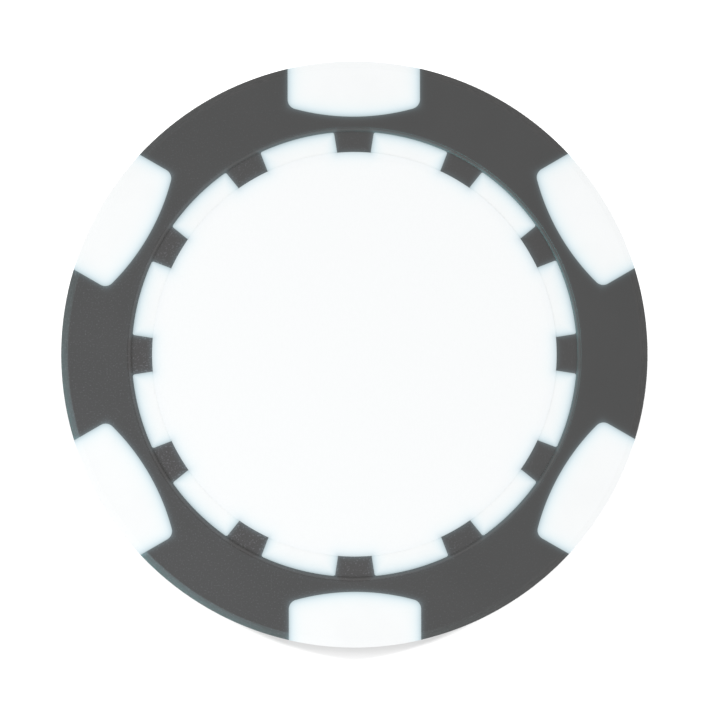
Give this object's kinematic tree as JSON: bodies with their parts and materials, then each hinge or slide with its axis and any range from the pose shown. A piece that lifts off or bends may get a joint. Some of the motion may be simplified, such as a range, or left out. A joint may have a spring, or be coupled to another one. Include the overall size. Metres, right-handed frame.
{
  "type": "poker chip",
  "caption": "Round weighted gaming chip: dark rim moulded round a white core with white edge spots, toothed label recess and blank label on each face.",
  "frame": {"origin": "centre of the face that the chip lies on, its back face", "axes": "+Z along the chip's axis from the back face to the front face, +Y through the middle of an edge spot"},
  "size_m": [0.039, 0.039, 0.0033],
  "materials": {
    "rim_plastic": "satin dark grey moulded plastic with fine light specks",
    "core_plastic": "satin cool white moulded plastic, faintly translucent",
    "slug_steel": "bare rolled steel, stamped edge",
    "label_stock": "blank matte white label stock",
    "label_adhesive": "thin clear pressure-sensitive adhesive film over white plastic"
  },
  "bodies": {
    "root": {"rim_moulding": "rim_plastic", "core_moulding": "core_plastic", "steel_slug": "slug_steel", "front_label": "label_stock", "front_label_adhesive": "label_adhesive", "back_label": "label_stock", "back_label_adhesive": "label_adhesive"}
  },
  "joints": []
}
